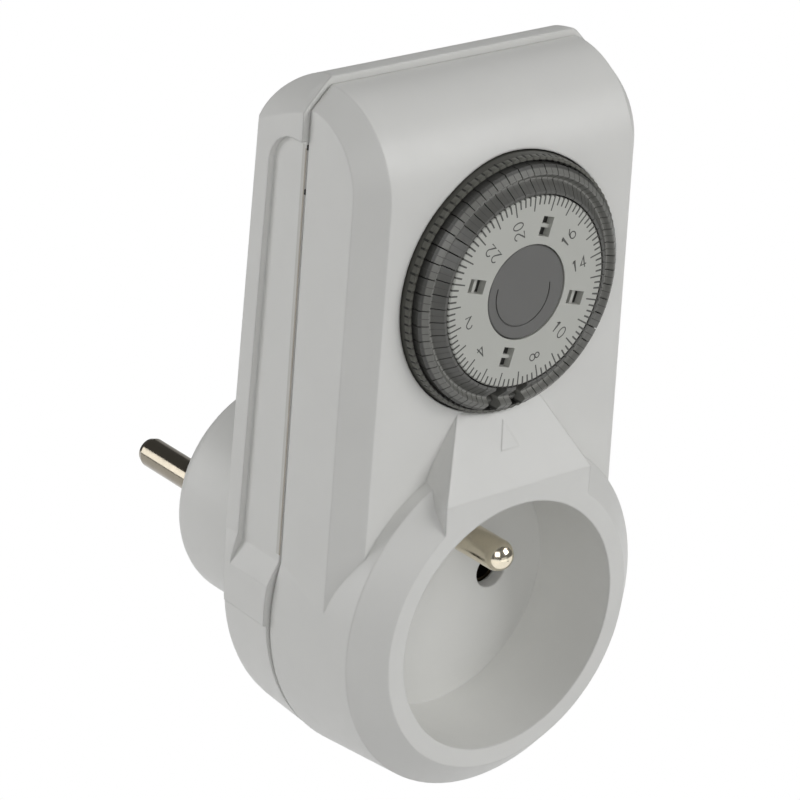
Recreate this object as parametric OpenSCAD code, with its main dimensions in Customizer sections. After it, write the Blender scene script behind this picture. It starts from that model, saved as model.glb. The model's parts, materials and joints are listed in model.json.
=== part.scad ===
// 24-hour plug-in timer switch: plug on the back, earthed socket on the front, and a dial
// with captive tappets above the socket.
// +X is to the right seen from the front, +Y points into the wall (as the plug's pins do),
// +Z is up. The origin is the centre of the plug's face, midway between its two pins, and
// the socket's axis is the same line. Depths are measured from that face towards the front,
// so a piece at depth d lies at y = -d.

/* [Plug and socket pins] */
// Diameter of the plug pins, the earth pin and the pins that the socket takes
pin_d = 4.8; // [4.4:0.1:5.2]
// Distance between the two pins, and between the two holes
pin_pitch = 19; // [17:0.5:21]
// Length of a plug pin outside the plug's face
pin_len = 19; // [15:0.5:22]
// Height of the earth pin above the line of the two holes
earth_rise = 10; // [9:0.5:11]
// Length of the earth pin above the floor of the socket
earth_len = 14; // [11:0.5:15]
// Radial clearance between a contact sleeve and the pin it takes
contact_fit = 0.03; // [0.01:0.01:0.05]
// Radial clearance between a hole in the plastic and the pin that passes it
hole_fit = 0.4; // [0.2:0.05:0.5]
// Radial clearance of a pin's shank in the wall that holds it
seat_fit = 0.02; // [0.01:0.01:0.05]
// Diameter of a pin's shank, where it passes the wall that holds it
shank_d = 5.4; // [5:0.1:6]
// Wall of a contact sleeve
sleeve_wall = 0.6; // [0.4:0.1:0.8]
// Length of a contact sleeve
sleeve_len = 14.5; // [12:0.5:15]
// Diameter of a pin's flange behind the wall
flange_d = 7; // [6:0.5:8]

/* [Plug boss] */
// Diameter of the round boss that carries the plug
boss_d = 36.8; // [35:0.2:38]
// Length of the boss from the rear wall to the plug's face
boss_len = 25; // [22:0.5:30]
// Radius round the edge of the plug's face
boss_edge_r = 2.5; // [1:0.25:3]
// Thickness of the plug's face
plug_wall = 3; // [2.5:0.25:4]

/* [Housing] */
// Width of the front shell at the height of the socket's axis
body_w = 53.8; // [52:0.2:56]
// Height of the front shell's top above the socket's axis
body_top = 80.2; // [79:0.2:86]
// Depth of the front face
front_depth = 51.8; // [50.6:0.2:54]
// Thickness of the front shell at its rim, from the joint to the front face
front_shell_depth = 14; // [12.5:0.25:15]
// Lean of each side towards the top, in degrees
side_lean = 1.1; // [0:0.1:1.4]
// Lean of the rear wall towards the top, in degrees
rear_lean = 1.8; // [0:0.1:2]
// Width of the bevel along the front shell's edges
bevel = 3.7; // [2.5:0.1:5]
// How far the rear shell stands out round the front shell at the joint
lip = 1; // [0.4:0.1:1.2]
// Radius of the rear shell's top edge
rear_top_r = 10; // [6:0.5:12]
// Radius of the rear shell's top corners at the rear wall
rear_corner_r = 12; // [8:0.5:14]
// Growth of that radius for each millimetre towards the joint
corner_flare = 0.165; // [0.1:0.005:0.25]
// Chamfer of the rear shell's long edges
rear_bevel = 0.4; // [0.2:0.1:2.5]
// Diameter of the rear shell round the socket, next to the rear wall
rear_round_d = 56.4; // [54:0.2:57]
// Radius round the rear edge of that round part
rear_round_edge_r = 2.5; // [1:0.25:4]
// Height of that round part's axis above the collar's
rear_round_rise = 0.8; // [0:0.1:1]
// Wall thickness of both shells
wall = 2; // [1.6:0.1:2.2]
// Depth of the recess in each side of the rear shell
side_recess = 0.9; // [0.3:0.1:1]
// Width of the full-width band behind that recess
rear_band = 3.4; // [2.5:0.1:4.5]
// Open joint between the two shells
joint_gap = 0.3; // [0.1:0.05:0.5]

/* [Socket collar] */
// Diameter of the socket's mouth
well_d = 39; // [38.5:0.25:40]
// Depth of the socket from its ring face to its floor
well_depth = 15.3; // [15:0.1:16.5]
// Draft of the socket's wall, as the radius lost from mouth to floor
well_draft = 0.3; // [0:0.05:0.5]
// Thickness of the cup that forms the socket
cup_wall = 1.6; // [1.2:0.1:1.8]
// Thickness of the socket's floor
floor_wall = 2.2; // [1.8:0.1:2.6]
// Height of the ring face above the front face
ring_rise = 6; // [4.5:0.25:7]
// Diameter of the flat ring face
ring_d = 44.7; // [43.5:0.1:46]
// Diameter of the collar at the foot of its chamfer
collar_d = 53.6; // [52:0.2:55]
// Height of the collar's chamfer
collar_chamfer = 4.1; // [3:0.1:5]
// Diameter of the collar where it meets the joint
collar_base_d = 56.4; // [56:0.2:58]

/* [Dial] */
// Height of the dial's axis above the socket's axis
dial_z = 51.5; // [51:0.1:53.5]
// Diameter of the hole in the front face
dial_hole_d = 38.7; // [38.6:0.1:39.4]
// Height of the dial's face above the front face
dial_rise = 4.1; // [3.8:0.1:4.6]
// Diameter of the printed dial disc
disc_d = 28.2; // [27.8:0.1:28.4]
// Thickness of the dial disc
disc_t = 1.2; // [1:0.1:1.3]
// Distance from the dial's axis to the middle of a window in the disc
window_r = 9.65; // [9.4:0.05:10]
// Length of a window along the radius
window_len = 2.9; // [2.4:0.1:3]
// Width of a window
window_w = 2; // [1.6:0.1:2.2]
// Diameter of the hub cap
cap_d = 13.9; // [13:0.1:14.4]
// Diameter over the tappets
tappet_ring_d = 36.3; // [36:0.1:36.4]
// Number of tappets, two to the hour
tappet_count = 48; // [48]
// Gap between neighbouring tappets, in degrees
tappet_gap = 0.5; // [0.3:0.1:1]
// How far a tappet is pushed in
tappet_travel = 1.8; // [1.2:0.1:1.9]
// Turn of the dial, in degrees: where the hour 0 mark stands, anticlockwise from the right
dial_turn = 163.5; // [160:0.5:166]
// Radial clearance between neighbouring rings of the dial and the hole
dial_fit = 0.2; // [0.15:0.05:0.3]
// Diameter of the post that the dial turns on
post_d = 6; // [5:0.2:6.4]
// Running clearance of a shaft in its bore
run_fit = 0.05; // [0.02:0.01:0.08]

/* [Drive] */
// Module of the gear teeth
gear_m = 0.5; // [0.4:0.02:0.52]
// Teeth on the dial's gear
dial_teeth = 48; // [40:2:50]
// Teeth on each wheel of the train
wheel_teeth = 40; // [36:2:42]
// Teeth on each pinion
pinion_teeth = 8; // [8]
// Thickness of a wheel
wheel_t = 1; // [0.8:0.1:1.1]
// Diameter of an arbor
arbor_d = 1.6; // [1.2:0.1:1.8]
// Thickness of the mechanism plate
plate_t = 1.8; // [1.5:0.1:1.9]
// Diameter of the motor's can
motor_d = 26; // [22:0.5:28]
// Length of the motor's can
motor_len = 7.3; // [6:0.1:7.4]

/* [Hidden] */
$fn = 96;
e = 1;                                   // how far a cutting tool runs past the surface
pin_r = pin_d / 2;
joint_depth = front_depth - front_shell_depth;
ring_depth = front_depth + ring_rise;
floor_depth = ring_depth - well_depth;
floor_back = floor_depth - floor_wall;
half_w = body_w / 2;
top_c = body_top - front_shell_depth;    // height of the axis that the top edge curves round
dial_face = front_depth + dial_rise;
plate_back = 42.5;
plate_front = plate_back + plate_t;
dial_hole_r = dial_hole_d / 2;
pointer_low = 27.2;                      // foot of the embossed pointer

// Tappets with a node of their own: number k covers the half hour from k / 2 on.
jointed = [8, 9, 10, 11, 12, 13, 14, 15, 16, 17, 18, 19];
pushed = [12, 14];

// ---- Places and directions ------------------------------------------------------------

// Turns a shape drawn with its axis along Z so that the axis runs from front to back, and
// sets its base at a depth: heights in the shape then count towards the front.
module at_depth(d, x = 0, z = 0) translate([x, -d, z]) rotate([90, 0, 0]) children();

module rod(d0, d1, r, x = 0, z = 0) at_depth(d0, x, z) cylinder(r = r, h = d1 - d0);

// A block between two corners given as [x, depth, z].
module block(a, b) {
    x0 = min(a[0], b[0]);
    z0 = min(a[2], b[2]);
    translate([x0, -max(a[1], b[1]), z0])
        cube([abs(a[0] - b[0]), abs(a[1] - b[1]), abs(a[2] - b[2])]);
}

// A ring turned round the front-to-back axis, from points given as [radius, depth].
module turned(points, x = 0, z = 0) at_depth(0, x, z) rotate_extrude() polygon(points);

module on_dial() translate([0, 0, dial_z]) children();

// ---- Housing --------------------------------------------------------------------------

// Outline of the front shell at the joint, drawn in x and z, grown by g all round.
module outline(g, rise = 0) {
    t = tan(side_lean);
    top = body_top + g;
    c = bevel + 0.586 * g;
    w0 = half_w + g;
    w1 = w0 - (top - c) * t;
    polygon([[-w0, 0], [w0, 0], [w1, top - c], [w1 - c, top], [c - w1, top], [-w1, top - c]]);
    translate([0, rise]) circle(r = collar_base_d / 2 + g);
}

// Flat side and bevelled edge of the front shell's right half. The bevel follows the curve
// of the top edge, so above top_c it is a cone round that curve's axis.
module right_side(i) {
    r = front_shell_depth - i;
    w = half_w - i;
    c = bevel - 0.586 * i;
    rotate([0, -side_lean, 0]) {
        translate([0, -joint_depth, -50]) mirror([0, 1, 0])
            linear_extrude(50 + top_c)
                polygon([[-60, -4], [w, -4], [w, r - c], [w - c - 3, r + 3], [-60, r + 3]]);
        translate([0, -joint_depth, top_c]) rotate([0, 90, 0]) rotate_extrude()
            polygon([[0, -60], [0, w], [r - c, w], [r + 3, w - c - 3], [r + 3, -60]]);
    }
}

// Front shell without the collar, drawn in by i; an inner one runs out past the joint.
module front_block(i) {
    r = front_shell_depth - i;
    back = i > 0 ? joint_depth - e : joint_depth;
    intersection() {
        union() {
            block([-40, back, 0], [40, joint_depth + r, top_c]);
            intersection() {
                block([-40, back, top_c - 0.1], [40, joint_depth + r, top_c + r]);
                translate([-40, -joint_depth, top_c]) rotate([0, 90, 0])
                    cylinder(r = r, h = 80);
            }
        }
        right_side(i);
        mirror([1, 0, 0]) right_side(i);
    }
}

module collar(i) {
    back = i > 0 ? joint_depth - e : joint_depth;
    turned([[0, back], [collar_base_d / 2 - i, back],
        [collar_d / 2 - i, ring_depth - collar_chamfer - 0.4 * i],
        [ring_d / 2 - 0.9 * i, ring_depth - i], [0, ring_depth - i]]);
}

// Wedge between the ring face and the dial; its sloping top carries the pointer.
module wedge(i) {
    k = i * 0.9;
    z_tip = 33 - k;
    at_depth(0) hull() {
        translate([0, 0, front_depth - 0.1 - i]) linear_extrude(0.1)
            polygon([[-13.6 + k, 17], [-13.6 + k, 20], [-12.4 + k, 24.5], [-11.5 + k, 26.5],
                [-8.7 + k, 30.9 - k], [-7.6 + k, z_tip], [7.6 - k, z_tip],
                [8.7 - k, 30.9 - k], [11.5 - k, 26.5], [12.4 - k, 24.5], [13.6 - k, 20],
                [13.6 - k, 17]]);
        translate([0, 0, ring_depth - 0.1 - i]) linear_extrude(0.1)
            polygon([[-13.4 + k, 17], [-13.5 + k, 22.3 - k / 2], [13.5 - k, 22.3 - k / 2],
                [13.4 - k, 17]]);
        translate([0, 0, front_depth - i]) linear_extrude(0.1)
            polygon([[-5 + k / 2, z_tip - 0.3], [-5 + k / 2, z_tip], [5 - k / 2, z_tip],
                [5 - k / 2, z_tip - 0.3]]);
    }
}

// Embossed triangle on the wedge that points at the time of day.
module pointer() {
    tilt = atan(ring_rise / (33 - 22.3));
    translate([0, -front_depth, 33]) rotate([90, 0, 0]) rotate([-tilt, 0, 0])
        translate([0, 0, -0.5]) linear_extrude(0.62)
            polygon([[-1.7, (pointer_low - 33) / cos(tilt)],
                [1.7, (pointer_low - 33) / cos(tilt)], [0, -2 / cos(tilt)]]);
}

// Case screws: two at the top and two beside the socket.
low_screw = collar_base_d / 2 - 11.5;
screw_places = [[7.4 - half_w, body_top - 8.7], [half_w - 7.4, body_top - 8.7],
    [-low_screw, -low_screw], [low_screw, -low_screw]];
// Screws of the mechanism plate: x, z and the length beyond the plate.
plate_places = [[8.4 - half_w, dial_z - 14.5, 5], [half_w - 8.4, dial_z - 14.5, 5],
    [-6, dial_z + 21.7, 2]];
screw_seat = joint_depth - 4.8;
shank_r = shank_d / 2;
earth_seat = 1.2;                        // depth of the earth sleeve's seat in the plug's wall

module front_shell() color([0.86, 0.86, 0.85]) {
    well_r = well_d / 2;
    difference() {
        union() {
            difference() {
                union() {
                    front_block(0);
                    collar(0);
                    wedge(0);
                }
                front_block(wall);
                collar(wall);
                wedge(wall);
            }
            rod(floor_back, ring_depth - 0.2, well_r + cup_wall);
            intersection() {
                front_block(wall / 2);
                rod(front_depth - 5.3, front_depth - 0.5, dial_hole_r + 1.5, 0, dial_z);
            }
            for (p = screw_places) rod(joint_depth, front_depth - 3.8, 3, p[0], p[1]);
            intersection() {
                front_block(wall / 2);
                for (p = plate_places) rod(plate_front, front_depth, 2.2, p[0], p[1]);
            }
            for (s = [-1, 1])
                rod(floor_back - 4.3, floor_back + 0.5, sleeve_r + 1.2, s * pin_pitch / 2);
        }
        turned([[0, floor_depth], [well_r - well_draft, floor_depth], [well_r, ring_depth],
            [well_r, ring_depth + e], [0, ring_depth + e]]);
        rod(front_depth - 6, ring_depth + e, dial_hole_r, 0, dial_z);
        for (s = [-1, 1]) {
            rod(floor_back - e, ring_depth, pin_r + hole_fit, s * pin_pitch / 2);
            rod(floor_back - 5, floor_back, sleeve_r + 0.05, s * pin_pitch / 2);
        }
        rod(floor_back - e, ring_depth, shank_r + seat_fit, 0, earth_rise);
        for (p = screw_places) rod(joint_depth - e, joint_depth + 9.2, 1.5, p[0], p[1]);
        for (p = plate_places)
            rod(plate_front - e, plate_front + p[2] + 0.6, 1.05, p[0], p[1]);
    }
    pointer();
}

rear_r = boss_d / 2;
rear_slope = tan(rear_lean);

// Rear shell's solid shape, drawn in by i and grown by the lip.
module rear_block(i) {
    front = i > 0 ? joint_depth + e : joint_depth - joint_gap;
    back = boss_len + i;
    top = body_top + lip - i;
    r = rear_top_r - i;
    zc = top - r;
    dc = back + zc * rear_slope + r / cos(rear_lean);
    c = rear_bevel - 0.586 * i;
    w = half_w + lip - i;
    intersection() {
        at_depth(0) linear_extrude(front) outline(lip - i, rear_round_rise);
        translate([-40, 0, 0]) rotate([90, 0, 90]) linear_extrude(80) {
            polygon([[-front - 1, -40], [-back + 40 * rear_slope, -40],
                [-dc + r * cos(rear_lean), zc + r * sin(rear_lean)], [-dc, zc],
                [-dc, top], [-front - 1, top]]);
            translate([-dc, zc]) circle(r = r + 0.02);
        }
        union() {
            intersection() {
                rear_edge(w, c, back, front);
                mirror([1, 0, 0]) rear_edge(w, c, back, front);
            }
            rear_round(i, back, front);
        }
        rear_corner(i);
        mirror([1, 0, 0]) rear_corner(i);
    }
}

// Everything left of the right side's chamfered long edge. The chamfer grows near the foot,
// where the side meets the round part.
module rear_edge(w, c, back, front)
    translate([0, -back, 0]) rotate([rear_lean, -side_lean, 0]) intersection() {
        translate([0, back, -1]) mirror([0, 1, 0]) linear_extrude(100)
            polygon([[-60, back - 4], [w - c - 4, back - 4], [w + 5, back + c + 5],
                [w + 5, front + 6], [-60, front + 6]]);
        translate([w - c, 0, 10]) rotate([0, 0, 45]) rotate([0, 4.9, 0])
            translate([-150, -100, -100]) cube([150, 200, 200]);
    }

// Round part behind the socket, with a rounded rear edge, widening to the joint.
module rear_round(i, back, front) {
    r0 = rear_round_d / 2 - i;
    r1 = collar_base_d / 2 + lip / 2 - i;
    b = max(rear_round_edge_r - i, 0.5);
    turned(concat([[0, back]],
        [for (a = [0 : 15 : 90]) [r0 - b + b * sin(a), back + b - b * cos(a)]],
        [[r1, front], [r1, front + 6], [0, front + 6]]), 0, rear_round_rise);
}

// Everything inside the rounding of the right top corner, which opens out to the joint.
module rear_corner(i) {
    z = body_top + lip - rear_corner_r;
    x = half_w + lip - z * tan(side_lean) - rear_corner_r;
    r = rear_corner_r - i - boss_len * corner_flare;
    block([-60, 0, -60], [x, 60, 120]);
    block([-60, 0, -60], [60, 60, z]);
    at_depth(0, x, z) cylinder(r1 = r, r2 = r + 60 * corner_flare, h = 60);
}

// Recess in the rear shell's right side, in line with the front shell's side.
module recess() {
    t = tan(side_lean);
    z1 = body_top - 7.7;
    step = boss_len + rear_band;
    w = half_w + lip - side_recess;
    intersection() {
        translate([10, 0, 0]) rotate([90, 0, 90]) linear_extrude(40) {
            polygon([[-joint_depth - 1, 0], [-step, 0],
                [-step - (z1 - 5) * rear_slope, z1 - 5],
                [-step - (z1 - 5) * rear_slope - 5, z1 - 5],
                [-step - (z1 - 5) * rear_slope - 5, z1], [-joint_depth - 1, z1]]);
            translate([-step - (z1 - 5) * rear_slope - 5, z1 - 5]) circle(r = 5.02);
        }
        at_depth(0) linear_extrude(joint_depth + 2)
            polygon([[40, 5.5], [w + lip + 0.8, 5.5], [w - 9 * t, 9], [w - 80 * t, 80], [40, 80]]);
    }
}

module rear_shell() color([0.84, 0.84, 0.83]) {
    boss_r = boss_d / 2;
    difference() {
        union() {
            difference() {
                union() {
                    difference() {
                        rear_block(0);
                        recess();
                        mirror([1, 0, 0]) recess();
                    }
                    at_depth(0) rotate_extrude() {
                        square([boss_r - boss_edge_r, boss_edge_r + 0.1]);
                        translate([boss_r - boss_edge_r, boss_edge_r])
                            circle(r = boss_edge_r, $fn = 28);
                        translate([0, boss_edge_r]) square([boss_r, boss_len - boss_edge_r]);
                        polygon([[0, boss_len - 3], [boss_r, boss_len - 3],
                            [boss_r + 1.8, boss_len], [boss_r + 1.8, boss_len + 1],
                            [0, boss_len + 1]]);
                    }
                }
                rear_block(wall);
                rod(plug_wall, boss_len + wall + 1, boss_r - wall);
            }
            // Tongue that closes the joint from the inside.
            at_depth(joint_depth - joint_gap - 1.5) linear_extrude(joint_gap + 2.7)
                difference() {
                    outline(-wall - 0.3);
                    outline(-wall - 1.2);
                }
            at_depth(joint_depth - joint_gap - 1.5) linear_extrude(1.5) difference() {
                outline(-0.5);
                outline(-wall - 1.2);
            }
            intersection() {
                rear_block(0.4);
                for (p = screw_places) rod(0, joint_depth - joint_gap, 4.4, p[0], p[1]);
            }
            for (x = [-4.5, 4.5]) rod(boss_len + 1, switch_back, 1.8, x, 18.2);
        }
        for (p = screw_places) {
            rod(0, screw_seat, 3.2, p[0], p[1]);
            rod(0, joint_depth + 2, 1.7, p[0], p[1]);
        }
        for (p = screw_places) rod(joint_depth - joint_gap, joint_depth + 2, 3.15, p[0], p[1]);
        for (s = [-1, 1]) rod(-e, plug_wall + e, shank_r + seat_fit, s * pin_pitch / 2);
        rod(-e, plug_wall + e, pin_r + hole_fit, 0, earth_rise);
        rod(plug_wall - earth_seat, plug_wall + e, sleeve_r + 0.05, 0, earth_rise);
    }
}

module case_screws() color([0.7, 0.7, 0.72]) {
    for (p = screw_places) difference() {
        union() {
            rod(screw_seat - 2, screw_seat, 2.8, p[0], p[1]);
            rod(screw_seat - 0.5, joint_depth + 8.6, 1.45, p[0], p[1]);
        }
        block([p[0] - 0.4, screw_seat - 3, p[1] - 4], [p[0] + 0.4, screw_seat - 1, p[1] + 4]);
    }
}

// ---- Plug and socket metalwork --------------------------------------------------------

sleeve_r = pin_r + contact_fit + sleeve_wall;
flange_r = flange_d / 2;
shank_step = 0.3;                        // how far the end of a shank lies below the face
root_len = 0.1;                          // where its taper meets the pin, above the face

module plug_pin(x) {
    turned([[0, -pin_len], [pin_r - 1, -pin_len], [pin_r - 0.3, -pin_len + 0.35],
        [pin_r, -pin_len + 1.2], [pin_r, -root_len], [shank_r, shank_step],
        [shank_r, plug_wall], [flange_r, plug_wall],
        [flange_r, plug_wall + 1], [0, plug_wall + 1]], x);
}

module plug_pin_left() color([0.75, 0.75, 0.73]) plug_pin(-pin_pitch / 2);

module plug_pin_right() color([0.75, 0.75, 0.73]) plug_pin(pin_pitch / 2);

module earth_pin() color([0.78, 0.72, 0.5]) {
    tip = floor_depth + earth_len;
    root = floor_depth - shank_step;
    at_depth(0, 0, earth_rise) rotate_extrude() {
        translate([0, floor_back - 1]) square([flange_r, 1]);
        translate([0, floor_back - 1]) square([shank_r, floor_wall + 1 - shank_step]);
        polygon([[0, root], [shank_r, root], [pin_r, floor_depth + root_len],
            [0, floor_depth + root_len]]);
        translate([0, floor_depth + root_len])
            square([pin_r, tip - floor_depth - root_len - pin_r]);
        intersection() {
            translate([0, tip - pin_r - 0.1]) square([pin_r, pin_r + 0.1]);
            translate([0, tip - pin_r]) circle(r = pin_r);
        }
    }
}

module sleeve(d0, x, z) {
    at_depth(d0, x, z) difference() {
        cylinder(r = sleeve_r, h = sleeve_len);
        translate([0, 0, -e]) cylinder(r = pin_r + contact_fit, h = sleeve_len + 2);
    }
}

sleeve_front = floor_back - 0.3;
sleeve_back = sleeve_front - sleeve_len;

module socket_contact_left() color([0.8, 0.62, 0.3]) sleeve(sleeve_back, -pin_pitch / 2, 0);

module socket_contact_right() color([0.8, 0.62, 0.3]) sleeve(sleeve_back, pin_pitch / 2, 0);

module earth_sleeve() color([0.8, 0.62, 0.3]) sleeve(plug_wall - earth_seat, 0, earth_rise);

module earth_strip() color([0.82, 0.6, 0.3]) {
    d0 = plug_wall - earth_seat + sleeve_len;
    d1 = floor_back - 1;
    block([-3, d0, 7], [3, d0 + 0.8, 13]);
    block([-2, d0, 12.2], [2, d1, 13]);
    block([-3, d1 - 0.8, 7], [3, d1, 13]);
}

bar = 0.8;
foot = plug_wall + 1;
side_bar = pin_pitch / 2 + sleeve_r + 0.02;

module neutral_busbar() color([0.85, 0.55, 0.35]) {
    block([-side_bar - bar, foot, -2], [-6.5, foot + bar, 2]);
    block([-side_bar - bar, foot, -2], [-side_bar, sleeve_front - 5, 2]);
}

module supply_busbar() color([0.85, 0.55, 0.35]) {
    block([6.5, foot, -2], [15.7, foot + bar, 2]);
    block([15.7 - bar, foot, -2], [15.7, boss_len + 4.3, 2]);
    block([15.7 - bar, boss_len + 3.5, -2], [15.7, 36.5, 17]);
    block([8.2, 33.5, 16.2], [15.7, 36.5, 17]);
}

module switched_busbar() color([0.85, 0.55, 0.35]) {
    z0 = sleeve_r + 0.02;
    block([7.5, 27, z0], [11.5, 35.5, z0 + bar]);
    block([-6, 34.7, z0], [11.5, 35.5, 6.5]);
    block([-6, 34.7, 6], [-4.6, 35.5, 17.2]);
}

// ---- Switch ---------------------------------------------------------------------------

switch_back = 31.5;
switch_front = 38.7;
plunger_x = 1.5;
plunger_d = 35;
lever_z = 26;
lever_d = plate_front - 0.9;

module switch_case() color([0.2, 0.2, 0.22]) difference() {
    block([-7.5, switch_back, 14.5], [7.5, switch_front, 22]);
    block([-6.5, switch_back + 1, 15.5], [6.5, switch_front + e, 21]);
    block([6, 33.4, 15.5], [8, 36.6, 16.25]);
    block([-6.1, 34.6, 14], [-4.5, 35.6, 16]);
    translate([plunger_x, -plunger_d, 20]) cylinder(r = 1.15, h = 4);
}

module switch_lid() color([0.25, 0.25, 0.27])
    block([-7.5, switch_front, 14.5], [7.5, switch_front + 0.8, 22]);

module switch_plunger() color([0.85, 0.3, 0.2]) {
    translate([plunger_x, -plunger_d, 17.52]) cylinder(r = 1.8, h = 0.7);
    translate([plunger_x, -plunger_d, 17.52]) cylinder(r = 1.1, h = lever_z - 1.25 - 17.52);
}

module contact_blade() color([0.85, 0.6, 0.4]) {
    block([-6, 34, 17.2], [5.7, 36, 17.5]);
    translate([4.5, -35, 16.92]) cylinder(r = 0.9, h = 0.4);
}

module fixed_contact() color([0.85, 0.55, 0.35]) {
    block([2, 33.5, 15.5], [13.5, 36.5, 16.2]);
    translate([4.5, -35, 16]) cylinder(r = 1.1, h = 0.9);
}

// ---- Trip lever -----------------------------------------------------------------------

module x_rod(x0, x1, r, d, z) translate([x0, -d, z]) rotate([0, 90, 0])
    cylinder(r = r, h = x1 - x0);

module trip_lever() color([0.45, 0.28, 0.18]) {
    difference() {
        union() {
            x_rod(-5, 5, 1.6, lever_d, lever_z);
            block([0.1, lever_d - 0.4, lever_z], [1.5, lever_d + 1.2, dial_z - leg_r + 0.7]);
            block([0.1, lever_d + 1, dial_z - leg_r - 0.7],
                [1.5, lever_finger, dial_z - leg_r + 0.7]);
            block([plunger_x - 1.2, plunger_d - 1.4, lever_z - 1.2],
                [plunger_x + 1.2, lever_d, lever_z + 0.2]);
        }
        x_rod(-6, 6, 0.6 + run_fit, lever_d, lever_z);
    }
}

module lever_pin() color([0.75, 0.75, 0.77]) x_rod(-8, 8, 0.6, lever_d, lever_z);

// ---- Mechanism plate, arbors and wheels -----------------------------------------------

post_r = post_d / 2;
wheel_r = gear_m * wheel_teeth / 2;
pinion_r = gear_m * pinion_teeth / 2;
dial_gear_r = gear_m * dial_teeth / 2;
step_r = wheel_r + pinion_r;
arbor_r = arbor_d / 2;
motor_back = 30.1;
motor_front = motor_back + motor_len;
first_d = motor_front + 1.3;
second_d = first_d + wheel_t + 0.25;
clutch_d = second_d + wheel_t + 0.25;
dial_gear_d = plate_front + 0.3;

function away(p, a, r) = [p[0] + r * cos(a), p[1] + r * sin(a)];

// The train runs round the dial's axis from the motor to the dial.
pinion_turn = 70;
second_turn = -65;
first_turn = -130;
motor_turn = 150;
pinion_at = away([0, dial_z], pinion_turn, dial_gear_r + pinion_r);
second_at = away(pinion_at, second_turn, step_r);
first_at = away(second_at, first_turn, step_r);
motor_at = away(first_at, motor_turn, step_r);

// A toothed disc with the middle of one tooth at the angle a.
module toothed(n, t, a) {
    pitch = 360 / n;
    r0 = gear_m * (n / 2 - 1.2);
    r1 = gear_m * (n / 2 + 0.85);
    rotate([0, 0, a]) linear_extrude(t) union() {
        circle(r = r0 + 0.02);
        for (k = [0 : n - 1]) rotate(k * pitch)
            polygon([[r0 * 0.9, -0.62 * gear_m], [r0, -0.62 * gear_m],
                [gear_m * n / 2, -0.68 * gear_m], [r1, -0.3 * gear_m],
                [r1, 0.3 * gear_m], [gear_m * n / 2, 0.68 * gear_m],
                [r0, 0.62 * gear_m], [r0 * 0.9, 0.62 * gear_m]]);
    }
}

module pierced(r, t) difference() {
    children();
    translate([0, 0, -5]) cylinder(r = r, h = t + 10);
}

module first_wheel() color([0.9, 0.9, 0.86]) at_depth(first_d, first_at[0], first_at[1])
    pierced(arbor_r + run_fit, 5) {
        toothed(wheel_teeth, wheel_t, motor_turn);
        translate([0, 0, wheel_t - 0.1])
            toothed(pinion_teeth, wheel_t + 0.5, first_turn + 180 + 180 / pinion_teeth);
    }

module second_wheel() color([0.9, 0.9, 0.86]) at_depth(second_d, second_at[0], second_at[1])
    pierced(arbor_r + run_fit, 5) {
        toothed(wheel_teeth, wheel_t, first_turn);
        translate([0, 0, wheel_t - 0.1])
            toothed(pinion_teeth, wheel_t + 0.4, second_turn + 180 + 180 / pinion_teeth);
    }

module clutch_wheel() color([0.55, 0.7, 0.85]) at_depth(clutch_d, pinion_at[0], pinion_at[1])
    pierced(arbor_r + run_fit, 5) toothed(wheel_teeth, wheel_t, second_turn);

module dial_pinion() color([0.9, 0.9, 0.86]) {
    back = clutch_d + wheel_t + 0.05;
    at_depth(back, pinion_at[0], pinion_at[1]) pierced(arbor_r + run_fit, 8) {
        cylinder(r = 1.8, h = plate_front + 0.2 - back);
        translate([0, 0, plate_front + 0.15 - back])
            toothed(pinion_teeth, 1.55, pinion_turn + 180 + 180 / pinion_teeth);
    }
}

module arbors() color([0.75, 0.75, 0.77]) {
    for (p = [first_at, second_at])
        rod(motor_front, plate_front, arbor_r, p[0], p[1]);
    rod(motor_front, plate_front + 1.7, arbor_r, pinion_at[0], pinion_at[1]);
}

spacer_places = [[-14, dial_z + 12.5], [14, dial_z - 13.5], [-12, dial_z - 15.7]];

module mechanism_plate() color([0.8, 0.8, 0.78]) difference() {
    w = half_w - 4.9;
    z = dial_z;
    union() {
        at_depth(plate_back) linear_extrude(plate_t)
            polygon([[-w, 34], [-14, 34], [-10, 38], [10, 38], [14, 34], [w, 34],
                [w, z + 10.5], [w - 9, z + 22], [5, z + 24.5], [-5, z + 24.5],
                [9 - w, z + 22], [-w, z + 10.5]]);
        rod(plate_back, post_top, post_r, 0, dial_z);
        for (s = [-1, 1])
            block([s * 6, lever_d - 1.5, lever_z - 1.8], [s * 8, plate_front, 38.5]);
        for (s = [-1, 1]) x_rod(s * 7 - 1, s * 7 + 1, 1.5, lever_d, lever_z);
        for (p = spacer_places) rod(motor_front + 1, plate_back + 0.2, 1.8, p[0], p[1]);
    }
    for (p = [first_at, second_at]) rod(plate_back - e, plate_front + e, arbor_r + 0.02, p[0], p[1]);
    rod(plate_back - e, plate_front + e, 1.8 + run_fit, pinion_at[0], pinion_at[1]);
    for (p = plate_places) rod(plate_back - e, plate_front + e, 1.2, p[0], p[1]);
    rod(post_top - 6, post_top + e, 1.12, 0, dial_z);
    x_rod(-9, 9, 0.62, lever_d, lever_z);
}

module plate_screws() color([0.7, 0.7, 0.72]) {
    for (p = plate_places) difference() {
        union() {
            rod(plate_back - 1, plate_back, 2, p[0], p[1]);
            rod(plate_back - 0.5, plate_front + p[2], 1, p[0], p[1]);
        }
        block([p[0] - 2.5, plate_back - 2, p[1] - 0.25],
            [p[0] + 2.5, plate_back - 0.5, p[1] + 0.25]);
    }
}

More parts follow.
